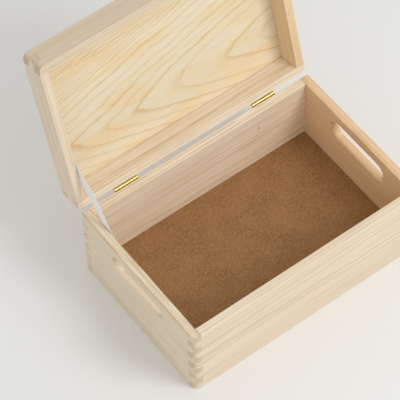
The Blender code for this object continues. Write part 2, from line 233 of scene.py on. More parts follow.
class Finish:
    """One material: the nodes of its formulas, and the shader that they feed."""

    def __init__(self, name):
        self.material = bpy.data.materials.new(name)
        self.material.use_nodes = True
        self.tree = self.material.node_tree
        self.shader = self.tree.nodes["Principled BSDF"]

    def add(self, kind, settings=None, sockets=(), output=0):
        """Adds a node: first its settings, then its sockets' values or links."""
        node = self.tree.nodes.new(kind)
        for name, value in (settings or {}).items():
            if name == "stops":
                self.set_stops(node.color_ramp, value)
            else:
                setattr(node, name, value)
        pairs = sockets.items() if isinstance(sockets, dict) else enumerate(sockets)
        for key, value in pairs:
            self.feed(node.inputs[key], value)
        return Field(self, node.outputs[output])

    def set_stops(self, ramp, stops):
        """Gives a colour ramp its stops, as (place, grey) or (place, colour)."""
        while len(ramp.elements) < len(stops):
            ramp.elements.new(0.5)
        for element, (place, colour) in zip(ramp.elements, sorted(stops)):
            element.position = place
            grey = isinstance(colour, (int, float))
            element.color = (colour, colour, colour, 1) if grey else (*colour, 1)

    def feed(self, socket, value):
        if isinstance(value, Field):
            self.tree.links.new(value.socket, socket)
        elif isinstance(value, tuple) and socket.type == "RGBA" and len(value) == 3:
            socket.default_value = (*value, 1)
        else:
            socket.default_value = value

    def mix(self, factor, first, second, blend="MIX"):
        """Two colours, mixed or blended."""
        settings = {"data_type": "RGBA", "blend_type": blend}
        return self.add("ShaderNodeMix", settings, {0: factor, 6: first, 7: second}, 2)

    def vector(self, operation, first, second):
        return self.add("ShaderNodeVectorMath", {"operation": operation}, [first, second])

    def parts(self, vector):
        """The x, y and z of a vector."""
        split = self.add("ShaderNodeSeparateXYZ", {}, [vector])
        return [Field(self, socket) for socket in split.socket.node.outputs]

    def place(self):
        """The point in the piece's own frame, in millimetres, and its three parts."""
        here = self.add("ShaderNodeTexCoord", output="Object")
        millimetres = self.vector("MULTIPLY", here, (1000, 1000, 1000))
        return millimetres, self.parts(millimetres)

    def noise(self, place, size, seed=0, detail=2.0, roughness=0.5):
        """Noise from 0 to 1 whose lumps are size = (x, y, z) millimetres across."""
        scaled = self.vector("MULTIPLY", place, tuple(1 / side for side in size))
        moved = self.vector("ADD", scaled, (17.3 * seed, 5.1 * seed, 9.7 * seed))
        sockets = {"Vector": moved, "Scale": 1.0, "Detail": detail, "Roughness": roughness}
        return self.add("ShaderNodeTexNoise", {}, sockets)

    def chance(self, number, seed=0):
        """A random value from 0 to 1 for each whole number."""
        sockets = {"W": number + 7.31 * seed}
        return self.add("ShaderNodeTexWhiteNoise", {"noise_dimensions": "1D"}, sockets)

    def done(self, colour, roughness, height=None, depth=0.1 * MM, strength=0.5, metallic=0.0):
        """Feeds the shader; height is the relief, from 0 to 1 over the given depth."""
        self.feed(self.shader.inputs["Base Color"], colour)
        self.feed(self.shader.inputs["Roughness"], roughness)
        self.shader.inputs["Metallic"].default_value = metallic
        if height is not None:
            sockets = {"Strength": strength, "Distance": depth, "Height": height}
            self.feed(self.shader.inputs["Normal"], self.add("ShaderNodeBump", {}, sockets))
        return self.material


print("formulas can now be written as Python")

# %% [markdown]
# The table top is plain and pale. It gets a trace of unevenness in its roughness,
# because a perfectly even plane looks like paper cut out behind the box.

# %% Table top
finish = Finish("pale_table")
point, _ = finish.place()
haze = finish.noise(point, (60, 60, 60), seed=2)
table_finish = finish.done((0.83, 0.83, 0.815), 0.6 + 0.15 * haze)
shape = bmesh.new()
bmesh.ops.create_grid(shape, x_segments=2, y_segments=2, size=6)
table_mesh = bpy.data.meshes.new("table_top")
shape.to_mesh(table_mesh)
shape.free()
table_mesh.materials.append(table_finish)
table = bpy.data.objects.new("table_top", table_mesh)
bpy.context.scene.collection.objects.link(table)
print("table top", table.dimensions.x, "m wide")

# %% [markdown]
# Each piece starts as a closed loft through rings of points: an outline lifted
# along its height, or a turned profile. A few helpers make those lofts, cut one
# with another, and take off the sharp arrises with a narrow bevel, which is what
# sandpaper does and what makes an edge catch the light.

# %% Shape helpers
def arc(centre, radius, start, end, steps):
    """Points on an arc from one angle to the other, in degrees."""
    angles = [math.radians(start + (end - start) * i / steps) for i in range(steps + 1)]
    return [(centre[0] + radius * math.cos(a), centre[1] + radius * math.sin(a)) for a in angles]


def rounded_outline(half_x, half_y, back_radius, front_radius, steps=12):
    """A rectangle round the origin with round corners, anticlockwise from the right."""
    points = []
    for quarter, (side_x, side_y) in enumerate([(1, 1), (-1, 1), (-1, -1), (1, -1)]):
        radius = back_radius if side_y > 0 else front_radius
        centre = (side_x * (half_x - radius), side_y * (half_y - radius))
        points += arc(centre, radius, 90 * quarter, 90 * quarter + 90, steps)
    return points


def loft(rings, name="loft"):
    """A closed mesh through rings of equal counts, with a face across each end."""
    shape = bmesh.new()
    loops = [[shape.verts.new(point) for point in ring] for ring in rings]
    for below, above in zip(loops, loops[1:]):
        for i in range(len(below)):
            after = (i + 1) % len(below)
            shape.faces.new((below[i], below[after], above[after], above[i]))
    shape.faces.new(list(reversed(loops[0])))
    shape.faces.new(loops[-1])
    bmesh.ops.recalc_face_normals(shape, faces=shape.faces)
    mesh = bpy.data.meshes.new(name)
    shape.to_mesh(mesh)
    shape.free()
    return mesh


def slab(low, high):
    """A block between two corners."""
    corners = [(low[0], low[1]), (high[0], low[1]), (high[0], high[1]), (low[0], high[1])]
    return loft([[(x, y, z) for x, y in corners] for z in (low[2], high[2])])


def turned(profile, sides=40):
    """Rings for a loft round z from (radius, height) pairs."""
    angles = [2 * math.pi * (i + 0.5) / sides for i in range(sides)]
    return [[(r * math.cos(a), r * math.sin(a), z) for a in angles] for r, z in profile]


def put(name, mesh, matrix=None, finish=None):
    """An object for a mesh, at a place in the row frame."""
    made = bpy.data.objects.new(name, mesh)
    bpy.context.scene.collection.objects.link(made)
    made.matrix_world = matrix or Matrix()
    if finish:
        mesh.materials.clear()
        mesh.materials.append(finish)
    return made


def settle(piece):
    """Makes a piece's modifiers part of its mesh."""
    bpy.context.view_layer.update()
    graph = bpy.context.evaluated_depsgraph_get()
    settled = bpy.data.meshes.new_from_object(piece.evaluated_get(graph))
    piece.modifiers.clear()
    piece.data = settled


def carve(piece, tools, operation="DIFFERENCE"):
    """Cuts tools from a piece, joins them to it, or keeps what they have in common."""
    for tool in tools:
        step = piece.modifiers.new("carve", "BOOLEAN")
        step.operation = operation
        step.object = tool
    settle(piece)


def discard(tools):
    for tool in tools:
        bpy.data.objects.remove(tool, do_unlink=True)


SAME_POINT = 0.002 * MM
FLAT_ANGLE = math.radians(0.2)


def soften(piece, width=0.16 * MM, sharper_than=40, segments=2):
    """Merges the cuts' flat facets, bevels the arrises and shades the rest smooth."""
    shape = bmesh.new()
    shape.from_mesh(piece.data)
    bmesh.ops.remove_doubles(shape, verts=shape.verts, dist=SAME_POINT)
    bmesh.ops.dissolve_limit(
        shape, angle_limit=FLAT_ANGLE, verts=shape.verts, edges=shape.edges,
    )
    limit = math.radians(sharper_than)
    edges = [edge for edge in shape.edges if edge.is_manifold and edge.calc_face_angle(0) > limit]
    low = [min(point.co[axis] for point in shape.verts) for axis in range(3)]
    high = [max(point.co[axis] for point in shape.verts) for axis in range(3)]
    bmesh.ops.bevel(
        shape, geom=edges, offset=width, offset_type="OFFSET", segments=segments, profile=0.5,
        affect="EDGES", clamp_overlap=False, miter_outer="SHARP",
    )
    # Where short edges meet, the rounding can throw a point past the board's end.
    # Such a point is brought back to the end.
    for point in shape.verts:
        for axis in range(3):
            point.co[axis] = min(max(point.co[axis], low[axis]), high[axis])
    shape.to_mesh(piece.data)
    shape.free()
    piece.data.shade_smooth()
    piece.data.set_sharp_from_angle(angle=math.radians(50))
    flatten = piece.modifiers.new("flat faces stay flat", "WEIGHTED_NORMAL")
    flatten.keep_sharp = True
    settle(piece)


print("helpers for lofts, cuts and soft arrises are ready")

# %% [markdown]
# A frame of four boards is cut from one idea: the outside of the whole frame, with
# its front corners rounded, its back corners left crisp and its rims eased, is a
# single form. Each board is that form in common with a plank whose ends carry
# square fingers, less the hollow. So the rounding runs across the joints, as it
# does when a frame is glued up first and shaped afterwards. Neighbours leave a
# hair's gap between fingers.

# %% A frame of finger-jointed boards
JOINT_GAP = 0.1 * MM
FRONT_CORNER_RADIUS = 8 * MM
BACK_CORNER_RADIUS = 1.6 * MM
EDGE_ROUND = 0.8 * MM
EDGE_STEPS = 6
BEYOND = 5 * MM  # how far a cutter runs past what it cuts
TURNS = {"front": 0, "right": 90, "back": 180, "left": 270}


def frame_outside(height):
    """The outside of a frame, standing on z = 0 round the origin."""
    profile = arc((EDGE_ROUND, EDGE_ROUND), EDGE_ROUND, 270, 180, EDGE_STEPS)
    profile += arc((EDGE_ROUND, height - EDGE_ROUND), EDGE_ROUND, 180, 90, EDGE_STEPS)
    rings = []
    for inset, z in profile:
        radii = (BACK_CORNER_RADIUS - inset, FRONT_CORNER_RADIUS - inset)
        outline = rounded_outline(WIDTH / 2 - inset, DEPTH / 2 - inset, *radii)
        rings.append([(x, y, z) for x, y in outline])
    return loft(rings)


def frame_hollow(rim, away):
    """The hollow, which opens out in a round edge at the rim."""
    profile = [(0, rim - away * (BOX_HEIGHT + BEYOND))]
    for outset, rise in arc((-EDGE_ROUND, -EDGE_ROUND), EDGE_ROUND, 0, 90, EDGE_STEPS):
        profile.append((-outset, rim + away * rise))
    profile.append((EDGE_ROUND, rim + away * BEYOND))
    rings = []
    for outset, z in profile:
        half_x = WIDTH / 2 - BOARD + outset
        half_y = DEPTH / 2 - BOARD + outset
        corners = [(-half_x, -half_y), (half_x, -half_y), (half_x, half_y), (-half_x, half_y)]
        rings.append([(x, y, z) for x, y in corners])
    return loft(rings)


def fingered_plank(length, height, fingers, first):
    """A plank along x with its outer face at y = 0.

    first tells whether it owns the lowest finger (0) or not (1).
    """
    rise = height / fingers
    end = []
    for i in range(fingers):
        own = i % 2 == first
        reach = length / 2 if own else length / 2 - BOARD - JOINT_GAP
        trim = JOINT_GAP / 2 if own else -JOINT_GAP / 2
        low = i * rise + (trim if i > 0 else 0)
        high = (i + 1) * rise - (trim if i < fingers - 1 else 0)
        end += [(reach, low), (reach, high)]
    outline = end + [(-x, z) for x, z in reversed(end)]
    return loft([[(x, y, z) for x, z in outline] for y in (0, BOARD)])


def frame_boards(prefix, home, height, fingers, hollow, more_cuts):
    """The four boards of a frame, by side, each with its own x along its grain."""
    outside = put("outside", frame_outside(height), home)
    inside = put("inside", hollow, home)
    boards = {}
    for side, angle in TURNS.items():
        across = side in ("front", "back")
        plank = fingered_plank(WIDTH if across else DEPTH, height, fingers, 0 if across else 1)
        out = DEPTH / 2 if across else WIDTH / 2
        turn = Matrix.Rotation(math.radians(angle), 4, "Z") @ Matrix.Translation((0, -out, 0))
        board = put(f"{prefix}{side}_board", plank, home @ turn)
        carve(board, [outside], "INTERSECT")
        carve(board, [inside, *more_cuts.get("all", []), *more_cuts.get(side, [])])
        soften(board)
        boards[side] = board
    discard([outside, inside, *(tool for tools in more_cuts.values() for tool in tools)])
    return boards


print("frames of", len(TURNS), "boards can be cut")

# %% [markdown]
# Two boards of the box have a handle slot. Its ends are half circles and its edge
# is rounded over from both faces, so its cutter is narrow in the middle of the
# wall and flares towards the faces. A groove inside holds the bottom panel.

# %% The box's boards
FIT = 0.3 * MM
SLOT_LENGTH = 85 * MM
SLOT_HEIGHT = 23 * MM
SLOT_BELOW_RIM = 26 * MM
SLOT_ROUND = 3.3 * MM
LEFT_SLOT_BACK = 1.5 * MM
RIGHT_SLOT_BACK = -2 * MM
HALF_TURN_SPLIT = 0.01 * MM  # the straight side left between a slot's two round corners


def slot_cutter():
    """A cutter for a handle slot along y, through x, widest at the wall's two faces."""
    edge = arc((SLOT_ROUND, -BOARD / 2 + SLOT_ROUND), SLOT_ROUND, 270, 180, EDGE_STEPS)
    half = [(SLOT_ROUND, -BOARD / 2 - BEYOND)] + edge
    profile = half + [(outset, -x) for outset, x in reversed(half)]
    rings = []
    for outset, x in profile:
        half_y = SLOT_LENGTH / 2 + outset
        half_z = SLOT_HEIGHT / 2 + outset
        radius = half_z - HALF_TURN_SPLIT
        outline = rounded_outline(half_y, half_z, radius, radius, 14)
        rings.append([(x, y, z) for y, z in outline])
    return loft(rings)


bottom_low, bottom_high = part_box("bottom_panel")
groove_half = (bottom_high - bottom_low) / 2 + Vector((FIT, FIT, FIT))
groove_middle = Matrix.Translation((bottom_low + bottom_high) / 2)
cuts = {"all": [put("groove", slab(-groove_half, groove_half), groove_middle)]}
slot_rise = BOX_HEIGHT - SLOT_BELOW_RIM
for side, hand, back in (("left", -1, LEFT_SLOT_BACK), ("right", 1, RIGHT_SLOT_BACK)):
    slot_place = Matrix.Translation((hand * (WIDTH - BOARD) / 2, back, slot_rise))
    cuts[side] = [put("slot", slot_cutter(), BOX_HOME @ slot_place)]
box_boards = frame_boards("", BOX_HOME, BOX_HEIGHT, 10, frame_hollow(BOX_HEIGHT, 1), cuts)
for side, board in box_boards.items():
    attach(board, "box")
    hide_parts(f"{side}_wall")
    print(board.name, len(board.data.polygons), "faces")

# %% [markdown]
# Pine is a stack of growth rings, and a board is a flat cut through them. So the
# grain is computed in space, not drawn: the distance from the tree's middle gives
# the ring, and the board's faces and ends cut through it. Where the tree tapers
# across a face the rings come out as arches, where they run parallel they come
# out as lines, and on an end they come out as arcs, with nothing else to set.
#
# Each board gets its own pith: where the tree's middle passes the board, in
# millimetres from the middle of the board's lower outer edge, and how it leans.

# %% Pine
PALE_PINE = (0.83, 0.73, 0.575)
LATE_PINE = (0.63, 0.43, 0.24)
PINK_PINE = (0.79, 0.62, 0.46)
TAN_PINE = (0.87, 0.61, 0.36)
KNOT_BROWN = (0.36, 0.20, 0.10)
BAND_BROWN = (0.46, 0.27, 0.12)


def ring_field(finish, parts, place, pith, lean, seed, knots=()):
    """The distance from the tree's middle, in millimetres, with its natural wobble."""
    along, deep, high = parts
    off_y = deep - (pith[0] + lean[0] * along)
    off_z = high - (pith[1] + lean[1] * along)
    distance = (off_y * off_y + off_z * off_z).root()
    bend = finish.noise(place, (170, 45, 45), seed, 1.0)
    ripple = finish.noise(place, (38, 9, 9), seed + 1, 2.0)
    distance = distance + 7 * (bend - 0.5) + 1.1 * (ripple - 0.5)
    for x, z, size in knots:
        away = ((along - x) ** 2 * 0.35 + (high - z) ** 2) * (1 / (2.2 * size) ** 2)
        distance = distance + 1.6 * size / (1 + away * away)
    return distance


def late_wood(finish, distance, ring, seed):
    """How dark a ring is at a point: it darkens slowly and ends sharply."""
    count = distance / ring
    number = count.floor()
    phase = count - number
    weight = finish.chance(number, seed)
    return phase.step(0.35, 0.9) * phase.step(1.0, 0.93) * (0.25 + 0.75 * weight * weight)


def brown_bands(finish, parts, place, bands, seed):
    """Brown streaks that run along the board, each (depth, height, size, strength)."""
    _, deep, high = parts
    wander = finish.noise(place, (60, 12, 12), seed + 11, 2.0) - 0.5
    patchy = finish.noise(place, (34, 8, 8), seed + 12, 2.0).step(0.25, 0.6)
    brown = 0.0
    for y, z, size, strength in bands:
        away = ((deep - y) ** 2 + (high - z) ** 2).root() / size + 0.9 * wander
        brown = away.step(1.0, 0.3) * strength * patchy + brown
    return brown


def pine(name, pith, lean=(0.0, 0.0), ring=3.4, seed=0, knots=(), contrast=0.5, warmth=0.3,
         pale=PALE_PINE, warm=PINK_PINE, bands=()):
    """A pine finish for a board whose x runs along the grain."""
    finish = Finish(name)
    place, parts = finish.place()
    distance = ring_field(finish, parts, place, pith, lean, seed, knots)
    late = late_wood(finish, distance, ring, seed)
    clouds = finish.noise(place, (120, 22, 22), seed + 3, 2.0).step(0.35, 0.75)
    streaks = finish.noise(place, (110, 1.9, 1.9), seed + 5, 2.0)
    lines = finish.noise(place, (150, 0.85, 0.85), seed + 6, 1.0)
    fibre = finish.noise(place, (9, 0.32, 0.32), seed + 7, 1.0)
    facing = finish.parts(finish.add("ShaderNodeTexCoord", output="Normal"))[0]
    end = abs(facing).step(0.45, 0.85)
    colour = finish.mix(warmth * clouds, pale, warm)
    colour = finish.mix(late * (contrast + 0.25 * end), colour, LATE_PINE)
    colour = finish.mix(0.42 * streaks.step(0.44, 0.74), colour, LATE_PINE)
    colour = finish.mix(0.34 * lines.step(0.48, 0.72), colour, LATE_PINE)
    colour = finish.mix(0.14 * fibre.step(0.5, 0.8), colour, LATE_PINE)
    if bands:
        brown = brown_bands(finish, parts, place, bands, seed)
        colour = finish.mix(brown, colour, BAND_BROWN)
    colour = finish.mix(end, colour, (0.86, 0.83, 0.80), "MULTIPLY")
    for x, z, size in knots:
        along, _, high = parts
        away = ((along - x) ** 2 * 0.6 + (high - z) ** 2).root() / size
        rough_edge = finish.noise(place, (3, 1.5, 1.5), seed + 9, 1.0)
        core = (away + 0.5 * (rough_edge - 0.5)).step(1.0, 0.55) * (1 - end)
        colour = finish.mix(0.8 * core, colour, KNOT_BROWN)
    gloss = 0.56 + 0.12 * fibre + 0.14 * end - 0.06 * late
    relief = 0.5 * fibre + 0.3 * late + 0.4 * streaks
    return finish.done(colour, gloss, relief, 0.06 * MM, 0.35)


def dress(piece, finish):
    """Gives a piece one finish."""
    piece.data.materials.clear()
    piece.data.materials.append(finish)


RIM_STREAKS = [(0.6, 102, 1.2, 0.6), (6.5, 102, 1.6, 0.35), (9.5, 102, 2.2, 0.5)]
dress(box_boards["front"], pine("pine_front", (28.2, 67), (-0.0113, 0.0), 3.5, 1, contrast=0.6))
# The back board's paler pine is painted light: it brightens the inner face that the key lamp
# lights.
dress(box_boards["back"], pine(
    "pine_back", (48, 14), (0.004, 0.012), 4.6, 2, [(-76, 75, 1.6)], 0.45, 0.4, (0.96, 0.84, 0.67),
    bands=[(3, 102, 1.6, 0.4), (8, 102, 1.5, 0.35)],
))
dress(
    box_boards["left"],
    pine("pine_left", (44, -52), (0.006, 0.004), 2.3, 3, (), 0.5, bands=RIM_STREAKS),
)
# The right board's darker, warmer tan is partly its own tone and partly painted shade: the warm
# bounce from the hardboard on its shaded inner face.
dress(box_boards["right"], pine(
    "pine_right", (52, -30), (-0.006, 0.01), 2.8, 4, [(42, 80, 1.7)], 0.5, 0.5,
    pale=TAN_PINE, warm=(0.80, 0.54, 0.30), bands=RIM_STREAKS,
))
print("pine laid on", len(box_boards), "boards")

# %% [markdown]
# The bottom is hardboard: wood fibre pressed into a thin brown sheet. Up close it
# is a felt of short fibres lying every way, lighter ones over darker ones, and
# from a distance it is softly mottled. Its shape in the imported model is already
# right, a flat sheet in a groove, so only its finish is made here.

# %% Hardboard
def hardboard():
    finish = Finish("hardboard")
    place, _ = finish.place()
    mottle = finish.noise(place, (26, 26, 26), 11, 3.0)
    felt = finish.noise(place, (1.6, 1.6, 1.6), 12, 3.0, 0.65)
    fibres_x = finish.noise(place, (3.2, 0.35, 1), 13, 1.0).step(0.56, 0.75)
    fibres_y = finish.noise(place, (0.35, 3.2, 1), 14, 1.0).step(0.56, 0.75)
    specks = finish.noise(place, (0.8, 0.8, 0.8), 15, 1.0).step(0.66, 0.76)
    colour = finish.mix(mottle.step(0.3, 0.7), (0.225, 0.098, 0.030), (0.290, 0.138, 0.045))
    colour = finish.mix(0.75 * felt.step(0.40, 0.62), colour, (0.40, 0.215, 0.080))
    colour = finish.mix(0.45 * fibres_x, colour, (0.50, 0.29, 0.12))
    colour = finish.mix(0.45 * fibres_y, colour, (0.47, 0.27, 0.11))
    colour = finish.mix(0.75 * specks, colour, (0.10, 0.038, 0.012))
    relief = 0.5 * felt + 0.3 * fibres_x + 0.3 * fibres_y
    return finish.done(colour, 0.58 + 0.2 * felt, relief, 0.08 * MM, 0.6)


dress(frame["nodes"]["bottom_panel"], hardboard())
print("hardboard laid", [round(side / MM) for side in bottom_high - bottom_low], "mm")

# %% [markdown]
# The lid is a second, lower frame. It is cut shut, in a frame of its own, and put
# in place by the turn that opens it, so each board keeps an x along its grain and
# its finish turns with it. A rebate round its top takes the panel.

# %% The lid's boards
panel_low, panel_high = shut_box("lid_panel")
panel_size = panel_high - panel_low
rebate_half_x = panel_size.x / 2 + FIT
rebate_half_y = panel_size.y / 2 + FIT
ledge = LID_HEIGHT - panel_size.z - FIT
rebate = slab(
    (-rebate_half_x, -rebate_half_y, ledge),
    (rebate_half_x, rebate_half_y, LID_HEIGHT + BEYOND),
)
cuts = {"all": [put("rebate", rebate, LID_HOME)]}
lid_boards = frame_boards("lid_", LID_HOME, LID_HEIGHT, 3, frame_hollow(0, -1), cuts)
for side, board in lid_boards.items():
    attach(board, "lid")
    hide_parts(f"lid_{side}_wall")
GREY_PINE = (0.72, 0.61, 0.47)
dress(
    lid_boards["front"],
    pine("pine_lid_front", (40, -30), (0.01, 0.004), 2.6, 21, pale=GREY_PINE),
)
dress(lid_boards["back"], pine(
    "pine_lid_back", (21, 13), (0.004, -0.006), 3.6, 22, (), 0.5, 0.4, (0.91, 0.80, 0.64),
    bands=[(10, 11, 3.0, 0.4)],
))
dress(lid_boards["left"], pine("pine_lid_left", (36, -22), (0.004, 0.0), 2.4, 23))
dress(lid_boards["right"], pine(
    "pine_lid_right", (50, -18), (0.008, 0.01), 2.8, 24, pale=(0.80, 0.62, 0.38), warm=TAN_PINE,
))
print("lid boards", [board.name for board in lid_boards.values()])

# %% [markdown]
# The lid's panel is thin plywood. Its face is peeled from the log, almost along
# the rings, so each ring that the blade grazes spreads into a wide arch. Here a
# line of the figure is where the blade's depth passes a ring, and the depth is a
# ridge that falls away to both sides: its level lines are arches with their tips
# to the left. The list says where the lines lie on the ridge and how dark each is.

# %% The lid's panel
VENEER_PALE = (0.85, 0.75, 0.565)
VENEER_LINE = (0.70, 0.46, 0.18)
RIDGE_Y = 43
RIDGE_WIDTH = 20
RIDGE_FALL = 4.2
VENEER_LINES = [
    (-315, 0.45), (-292, 0.6), (-270, 0.45), (-250, 0.65), (-228, 0.5), (-208, 0.6), (-186, 0.55),
    (-166, 0.8), (-135, 0.5), (-101, 0.85), (-60, 0.5), (-20, 0.55), (20, 0.9), (62, 0.55),
    (101, 1.0), (150, 0.55), (219, 0.9), (265, 0.6),
]
VENEER_START, VENEER_END = -330, 300


def line_stops(lines, start, end):
    """Ramp stops for lines that darken slowly from the left and end sharply."""
    stops = []
    for place, weight in lines:
        at = (place - start) / (end - start)
        stops += [(at - 0.020, 0.0), (at - 0.005, 0.6 * weight), (at, weight), (at + 0.004, 0.0)]
    return stops


def veneer():
    finish = Finish("pine_veneer")
    place, (along, across, high) = finish.place()
    bend = finish.noise(place, (90, 30, 90), 31, 2.0)
    ripple = finish.noise(place, (22, 7, 22), 32, 2.0)
    off_ridge = across - RIDGE_Y + 8 * (bend - 0.5)
    fall = (off_ridge * off_ridge + RIDGE_WIDTH * RIDGE_WIDTH).root() - RIDGE_WIDTH
    level = along + 140 - RIDGE_FALL * fall + 34 * (bend - 0.5) + 16 * (ripple - 0.5)
    scale = 1 / (VENEER_END - VENEER_START)
    third = len(VENEER_LINES) // 3
    lines = 0.0
    for some in (VENEER_LINES[:third], VENEER_LINES[third:-third], VENEER_LINES[-third:]):
        stops = {"stops": line_stops(some, VENEER_START, VENEER_END)}
        lines = finish.add("ShaderNodeValToRGB", stops, [(level - VENEER_START) * scale]) + lines
    patchy = finish.noise(place, (60, 14, 60), 33, 2.0).step(0.25, 0.7)
    broad = finish.noise(place, (70, 17, 70), 34, 2.0).step(0.42, 0.68)
    streaks = finish.noise(place, (60, 1.6, 5), 35, 2.0)
    fibre = finish.noise(place, (9, 0.35, 5), 36, 1.0)
    pores = finish.noise(place, (5, 0.45, 5), 37, 1.0).step(0.68, 0.78)
    straight = finish.noise(place, (160, 1.3, 160), 38, 1.0).step(0.46, 0.66)
    straight = straight * across.step(-38, -60)
    colour = finish.mix(0.75 * broad, VENEER_PALE, (0.86, 0.68, 0.38))
    colour = finish.mix(lines * (0.5 + 0.5 * patchy), colour, VENEER_LINE)
    colour = finish.mix(0.5 * straight, colour, VENEER_LINE)
    colour = finish.mix(0.26 * streaks.step(0.42, 0.75), colour, (0.68, 0.48, 0.26))
    colour = finish.mix(0.10 * fibre.step(0.5, 0.8), colour, (0.66, 0.48, 0.29))
    colour = finish.mix(0.25 * pores, colour, (0.55, 0.36, 0.20))
    relief = 0.5 * fibre + 0.4 * streaks
    return finish.done(colour, 0.5 + 0.14 * fibre, relief, 0.05 * MM, 0.35)


half = panel_size / 2
panel_middle = Matrix.Translation((panel_low + panel_high) / 2)
panel = put("lid_top_panel", slab(-half, half), OPENING @ panel_middle)
soften(panel, 0.3 * MM)
dress(panel, veneer())
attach(panel, "lid")
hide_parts("lid_panel")
print("panel", [round(side / MM, 1) for side in panel_size], "mm")

# %% [markdown]
# A butt hinge is two brass leaves whose knuckles interleave round a pin. Each leaf
# is stamped and its knuckles are rolled, so the barrel runs into the plate with a
# round shoulder. One leaf is modelled with its axis through the origin and its
# plate rising, and the same shape turned over serves for the box.

# %% Brass
def brass(name="brass", seed=41):
    finish = Finish(name)
    place, _ = finish.place()
    tarnish = finish.noise(place, (5, 5, 5), seed, 3.0)
    drawn = finish.noise(place, (14, 0.25, 0.25), seed + 1, 1.0)
    spots = finish.noise(place, (1.3, 1.3, 1.3), seed + 2, 2.0).step(0.62, 0.8)
    colour = finish.mix(tarnish.step(0.35, 0.75), (0.80, 0.56, 0.20), (0.60, 0.38, 0.12))
    colour = finish.mix(0.5 * spots, colour, (0.34, 0.19, 0.06))
    roughness = 0.16 + 0.14 * tarnish + 0.10 * drawn
    return finish.done(colour, roughness, drawn + 0.5 * spots, 0.03 * MM, 0.4, metallic=1.0)


BRASS = brass()
print("brass is ready")

# %% Hinge leaves, pins and screws
KNUCKLES = 5
KNUCKLE_GAP = 0.25 * MM
LEAF_THICK = 0.9 * MM
LEAF_SCREW_X = 9 * MM
LEAF_SCREW_REACH = 6.6 * MM
SHANK_RADIUS = 0.8 * MM
ALONG_X = Matrix.Rotation(math.radians(90), 4, "Y")
OUT_OF_BACK = Matrix.Rotation(math.radians(-90), 4, "X")
TURNED_OVER = Matrix.Rotation(math.radians(180), 4, "Y")

leaf_low, leaf_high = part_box("left_hinge_box_leaf")
HINGE_LENGTH = leaf_high.x - leaf_low.x
KNUCKLE_RADIUS = leaf_high.y - AXIS.y
LEAF_REACH = AXIS.z - leaf_low.z
HINGE_X = [pin_middle.x, -pin_middle.x]


def knuckle_section(radius, thick, clear, steps=30):
    """A rolled knuckle seen along the axis: a round barrel running into its plate."""
    points = arc((0, 0), radius, 180, 180 + 300, steps)
    inner = -radius + thick
    return points + [(inner, clear * 0.8), (inner, clear), (-radius, clear)]


def hinge_leaf(name, first):
    """A leaf with every other knuckle, whose plate rises from its axis at the origin."""
    inner = -KNUCKLE_RADIUS
    outer = inner + LEAF_THICK
    clear = KNUCKLE_RADIUS + 0.3 * MM
    half = HINGE_LENGTH / 2
    outline = [(-half, clear - 0.2 * MM), (half, clear - 0.2 * MM)]
    outline += arc((half - 1.2 * MM, LEAF_REACH - 1.2 * MM), 1.2 * MM, 0, 90, 6)
    outline += arc((1.2 * MM - half, LEAF_REACH - 1.2 * MM), 1.2 * MM, 90, 180, 6)
    leaf = put(name, loft([[(x, y, z) for x, z in outline] for y in (inner, outer)]))
    section = knuckle_section(KNUCKLE_RADIUS, LEAF_THICK, clear)
    pitch = (HINGE_LENGTH + KNUCKLE_GAP) / KNUCKLES
    knuckles = []
    for i in range(first, KNUCKLES, 2):
        start = -half + i * pitch
        ends = (start, start + pitch - KNUCKLE_GAP)
        knuckles.append(put("knuckle", loft([[(x, y, z) for y, z in section] for x in ends])))
    carve(leaf, knuckles, "UNION")
    bore = loft(turned([(0.92 * MM, -HINGE_LENGTH), (0.92 * MM, HINGE_LENGTH)], 24))
    holes = [put("bore", bore, ALONG_X)]
    for side in (-1, 1):
        sink = [
            (1.0 * MM, -BEYOND), (1.0 * MM, -0.85 * MM),
            (2.05 * MM, 0.05 * MM), (2.05 * MM, BEYOND),
        ]
        spot = Matrix.Translation((side * LEAF_SCREW_X, outer, LEAF_SCREW_REACH))
        holes.append(put("sink", loft(turned(sink, 32)), spot @ OUT_OF_BACK))
    carve(leaf, holes)
    discard([*knuckles, *holes])
    soften(leaf, 0.12 * MM)
    return leaf


def countersunk_screw(name):
    """A slotted screw with its head's top at z = 0."""
    profile = [(0.12 * MM, -7.4 * MM), (SHANK_RADIUS, -6.2 * MM), (SHANK_RADIUS, -0.95 * MM)]
    profile += [
        (1.86 * MM, -0.1 * MM), (1.82 * MM, -0.02 * MM),
        (1.2 * MM, 0.05 * MM), (0.3 * MM, 0.08 * MM),
    ]
    screw = put(name, loft(turned(profile, 32)))
    slot = [put("drive", slab((-BEYOND, -0.22 * MM, -0.45 * MM), (BEYOND, 0.22 * MM, BEYOND)))]
    carve(screw, slot)
    discard(slot)
    soften(screw, 0.05 * MM)
    return screw


def fit(piece, matrix, body, node):
    """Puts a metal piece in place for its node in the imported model."""
    piece.matrix_world = matrix
    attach(piece, body)
    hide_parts(node)
    print(piece.name, [round(side / MM, 1) for side in piece.dimensions], "mm")


def copy_of(piece, name):
    """Another object that shares a piece's mesh."""
    made = put(name, piece.data)
    return made


